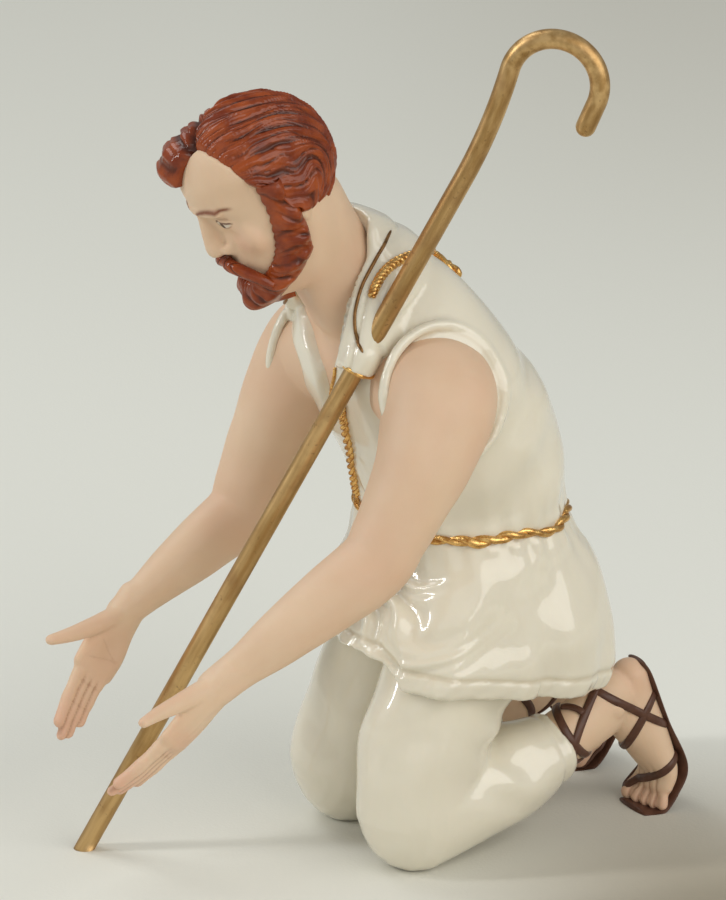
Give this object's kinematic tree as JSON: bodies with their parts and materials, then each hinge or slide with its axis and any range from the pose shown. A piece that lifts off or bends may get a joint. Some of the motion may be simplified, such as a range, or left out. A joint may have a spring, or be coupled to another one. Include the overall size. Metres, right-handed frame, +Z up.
{
  "type": "nativity shepherd figurine",
  "caption": "Kneeling bearded shepherd in a belted sleeveless tunic and laced sandals, arms held out, with a hooked metal crook through the collar.",
  "frame": {"origin": "on the floor, in the middle of the box round the whole object", "axes": "+Z up; the figure faces -Y and its left side is towards +X"},
  "size_m": [0.0664, 0.113, 0.146],
  "materials": {
    "porcelain": "glossy ivory glaze, with matte bisque skin and satin painted hair",
    "brass": "aged satin brass"
  },
  "bodies": {
    "root": {"shepherd_figure": "porcelain", "crook": "brass"}
  },
  "joints": []
}
